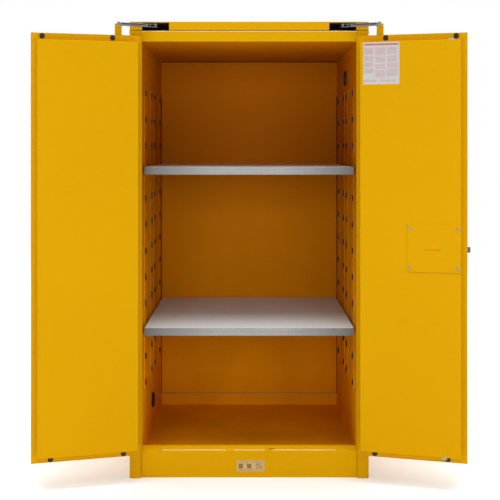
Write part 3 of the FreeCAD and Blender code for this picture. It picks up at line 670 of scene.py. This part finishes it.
# Beads of painted highlight along the rail, the back of the sump's rim, and the sill between bumpers
BEAD = 0.0011
RIM_BEAD = 0.0009
rail_low, rail_high = map(Vector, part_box("top_rail"))
sill_low, sill_high = map(Vector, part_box("sill_kick_panel"))
SILL_RUNS = ((-0.315, -0.083), (-0.057, 0.057), (0.083, 0.315))


def highlight_line(name, runs, y, z, radius):
    """A rounded line along X, in one or more runs, pale as a painted highlight."""
    work = bmesh.new()
    for left, right in runs:
        length = right - left
        place = Matrix.Translation((left, y, z)) @ Matrix.Rotation(math.radians(90), 4, "Y")
        lathe(work, place, [
            (radius * 0.5, 0.0), (radius, radius), (radius, length - radius),
            (radius * 0.5, length),
        ], around=16)
    show(name, finish_mesh(work, name), HIGHLIGHT_PAINT, "cabinet")


highlight_line("rail_highlight_bead", [(rail_low.x, rail_high.x)], rail_low.y + BEAD * 0.4, rail_high.z, BEAD)
highlight_line("sill_highlight_bead", SILL_RUNS, sill_low.y + BEAD * 0.6, sill_high.z - BEAD * 0.6, BEAD)
highlight_line("sump_highlight_bead", [(-inner_wall, inner_wall)], back_face - 0.0016, sump_rim - RIM_BEAD, RIM_BEAD)

# Moulded collars round the inner ends of the vents
COLLAR = ((0.0285, 0.0), (0.0285, 0.0060), (0.0270, 0.0080), (0.0235, 0.0080), (0.0222, 0.0060))
for word, side in SIDES.items():
    centre = Vector((side * inner_wall, VENT_Y, VENT_Z[word]))
    work = bmesh.new()
    ring(work, Matrix.Translation(centre) @ Matrix.Rotation(math.radians(-90 * side), 4, "Y"), COLLAR)
    name = f"vent_collar_{word}"
    show(name, finish_mesh(work, name), FINISHES["vent"], "cabinet")

# Dark strip along the front of each closer arm, from its pivot towards its stud, as painted shade in
# the hollow of the channel
ARM_PIVOT = (0.4670, -0.4690)
ARM_STUD = (0.3400, -0.4160)
SHADE_ALONG = (0.012, 0.098)
SHADE_Z = (1.6376, 1.6400)
for word, side in SIDES.items():
    pivot = Vector((side * ARM_PIVOT[0], ARM_PIVOT[1], 0.0))
    along = (Vector((side * ARM_STUD[0], ARM_STUD[1], 0.0)) - pivot).normalized()
    out = Vector((along.y, -along.x, 0.0)) * -side
    face = max((vert.co - pivot).dot(out) for vert in NODES[f"closer_arm_{word}"].data.vertices)
    turned = Matrix((
        (along.x, out.x, 0, pivot.x), (along.y, out.y, 0, pivot.y), (0, 0, 1, 0), (0, 0, 0, 1),
    ))
    work = bmesh.new()
    slab(work, turned, (SHADE_ALONG[0], face - PROUD, SHADE_Z[0]),
         (SHADE_ALONG[1], face + PROUD, SHADE_Z[1]))
    name = f"closer_arm_channel_{word}"
    show(name, finish_mesh(work, name, False), FINISHES["dark_steel"], f"closer_arm_{word}")

# Painted shadow along the bottom and hinge side of the latch cover, and a pressed line across it
COVER_SHADOWS = (((0.185, 0.366), (0.7572, 0.7592)), ((0.1820, 0.1832), (0.760, 0.926)))
PRESSED_U = (0.242, 0.297)
PRESSED_Z = 0.838
work = bmesh.new()
for u, z in COVER_SHADOWS:
    slab(work, door_frame(1), (-u[1], PANEL - PROUD, z[0]), (-u[0], PANEL + PROUD, z[1]))
show("latch_cover_painted_shadow", finish_mesh(work, "latch_cover_painted_shadow", False), SHADOW_STRIP, "right_door")
work = bmesh.new()
slab(work, door_frame(1), (-PRESSED_U[1], COVER_FACE - PROUD, PRESSED_Z - 0.0012),
     (-PRESSED_U[0], COVER_FACE + 0.0007, PRESSED_Z + 0.0012))
bmesh.ops.bevel(work, geom=work.edges[:], offset=0.0004, offset_type="OFFSET", segments=2,
                affect="EDGES")
show("latch_cover_line", finish_mesh(work, "latch_cover_line"), YELLOW, "right_door")

# Label inside the right door: a plain sheet with a bar and blocks, no lettering
SHEET_U = (0.028, 0.156)
SHEET_Z = (1.419, 1.568)
PATCH_GAUGE = 0.0003
PRINT_LIFT = 0.0002


def patch(name, u, z, lift, material):
    """A thin printed patch on the inside of the right door."""
    work = bmesh.new()
    slab(work, door_frame(1), (-u[1], PANEL + lift, z[0]),
         (-u[0], PANEL + lift + PATCH_GAUGE, z[1]))
    show(name, finish_mesh(work, name, False), material, "right_door")


patch("label_sheet", SHEET_U, SHEET_Z, 0.0, PAPER)
patch("label_bar", (0.033, 0.152), (1.557, 1.563), PRINT_LIFT, RED_INK)
COLUMNS = ((0.031, 0.064), (0.071, 0.106), (0.112, 0.148))
BLOCKS = {
    0: ((1.524, 1.549), (1.502, 1.519), (1.481, 1.497), (1.458, 1.476)),
    1: ((1.522, 1.549), (1.497, 1.516), (1.474, 1.491), (1.443, 1.468)),
    2: ((1.526, 1.549), (1.499, 1.521), (1.477, 1.494), (1.448, 1.472)),
}
for column, rows in BLOCKS.items():
    for number, z in enumerate(rows):
        patch(f"label_block_{column}_{number}", COLUMNS[column], z, PRINT_LIFT, PINK_INK)
for number, u in enumerate(((0.029, 0.075), (0.088, 0.140))):
    patch(f"label_foot_{number}", u, (1.428, 1.435), PRINT_LIFT, PINK_INK)

# Rating plate: plain printed shapes
PLATE_BORDERS = (((-0.041, 0.027), (0.051, 0.0283)), ((-0.041, 0.0557), (0.051, 0.057)))
PLATE_LINES = (
    ((0.024, 0.033), (0.049, 0.036)), ((0.024, 0.040), (0.049, 0.043)),
    ((0.024, 0.047), (0.042, 0.050)),
)
PLATE_SQUARES = (((-0.038, 0.033), (-0.022, 0.050)), ((-0.008, 0.033), (0.008, 0.050)))
face_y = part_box("rating_plate")[0][1]
work = bmesh.new()
for low, high in (*PLATE_BORDERS, *PLATE_LINES, *PLATE_SQUARES):
    slab(work, Matrix.Identity(4), (low[0], face_y - PROUD, low[1]),
         (high[0], face_y + PROUD, high[1]))
show("rating_plate_print", finish_mesh(work, "rating_plate_print", False), DARK_INK, "cabinet")

# Flame screens: woven wire across each vent
WIRES = 11
WIRE_PITCH = 0.0037
WIRE_HALF = 0.0004
SCREEN_X = 0.396
SCREEN_RADIUS = 0.0219
work = bmesh.new()
for word, side in SIDES.items():
    x = side * SCREEN_X
    for number in range(-WIRES // 2 + 1, WIRES // 2 + 1):
        offset = number * WIRE_PITCH
        half = math.sqrt(max(SCREEN_RADIUS ** 2 - offset ** 2, 0.0))
        centre = Matrix.Translation((x, VENT_Y, VENT_Z[word]))
        slab(work, centre, (-WIRE_HALF, -half, offset - WIRE_HALF),
             (WIRE_HALF, half, offset + WIRE_HALF))
        slab(work, centre, (-3 * WIRE_HALF, offset - WIRE_HALF, -half),
             (-WIRE_HALF, offset + WIRE_HALF, half))
screens = show("flame_screen_wires", finish_mesh(work, "flame_screen_wires", False),
               FINISHES["brass"], "cabinet")
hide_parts("flame_screens")

# Floor, light and camera -----------------------------------------------------------------------
FLOOR = 30
floor_mesh = bpy.data.meshes.new("floor")
floor_mesh.from_pydata(
    [(-FLOOR, -FLOOR, 0), (FLOOR, -FLOOR, 0), (FLOOR, FLOOR, 0), (-FLOOR, FLOOR, 0)],
    [], [(0, 1, 2, 3)],
)
floor = bpy.data.objects.new("floor", floor_mesh)
bpy.context.scene.collection.objects.link(floor)
ground = Finish("pale_floor", specular=0.1)
ground.colour(ground.blend(ground.noise(0.8), (0.93, 0.93, 0.93), (0.90, 0.90, 0.90)))
ground.shader.inputs["Roughness"].default_value = 0.8
floor_mesh.materials.append(ground.material)

# The studio's walls light the cabinet at a tenth of the white that the camera sees
WALL_LIGHT = 0.1
world = bpy.data.worlds.new("studio")
bpy.context.scene.world = world
world.use_nodes = True
sky = world.node_tree
backdrop = sky.nodes["Background"]
backdrop.inputs["Strength"].default_value = WALL_LIGHT
seen = sky.nodes.new("ShaderNodeBackground")
choice = sky.nodes.new("ShaderNodeMixShader")
path = sky.nodes.new("ShaderNodeLightPath")
for source in (backdrop, seen):
    source.inputs["Color"].default_value = (1.0, 1.0, 1.0, 1.0)
sky.links.new(path.outputs["Is Camera Ray"], choice.inputs["Fac"])
sky.links.new(backdrop.outputs["Background"], choice.inputs[1])
sky.links.new(seen.outputs["Background"], choice.inputs[2])
sky.links.new(choice.outputs["Shader"], sky.nodes["World Output"].inputs["Surface"])

sun_data = bpy.data.lights.new("sun_overhead", "SUN")
sun_data.energy = 3.3
sun_data.angle = math.radians(50)
sun = bpy.data.objects.new("sun_overhead", sun_data)
sun.rotation_euler = (math.radians(8), 0.0, 0.0)
bpy.context.scene.collection.objects.link(sun)


def softbox(name, place, target, size, power):
    """A rectangular lamp, of a size in metres and a power in watts, turned to a target."""
    lamp = bpy.data.lights.new(name, "AREA")
    lamp.shape = "RECTANGLE"
    lamp.size, lamp.size_y = size
    lamp.energy = power
    holder = bpy.data.objects.new(name, lamp)
    holder.location = place
    holder.rotation_euler = (Vector(target) - Vector(place)).to_track_quat("-Z", "Y").to_euler()
    bpy.context.scene.collection.objects.link(holder)


softbox("bank_high", (0.0, -4.2, 4.4), (0, -0.2, 0.8), (4.2, 2.0), 28)
softbox("bank_front", (0.0, -5.0, 1.6), (0, 0, 0.6), (4.2, 1.4), 63)
softbox("rim_back", (0.0, 4.8, 3.0), (0, 0, 0.9), (4.0, 2.4), 170)
for word, side in SIDES.items():
    softbox(f"fill_{word}", (side * 5.0, 2.2, 2.4), (0, 0, 0.9), (3.0, 2.0), 70)

SENSOR_MM = 36.0
LENS_MM = 69.7536
SHIFT = (0.00168, -0.20306)
EYE = (0.0, -3.9334, 1.1918)
camera_data = bpy.data.cameras.new("camera")
camera_data.sensor_width = SENSOR_MM
camera_data.lens = LENS_MM
camera_data.shift_x, camera_data.shift_y = SHIFT
camera = bpy.data.objects.new("camera", camera_data)
camera.location = EYE
camera.rotation_euler = (math.radians(90), 0.0, 0.0)
bpy.context.scene.collection.objects.link(camera)
bpy.context.scene.camera = camera
bpy.context.scene.view_settings.view_transform = "Standard"
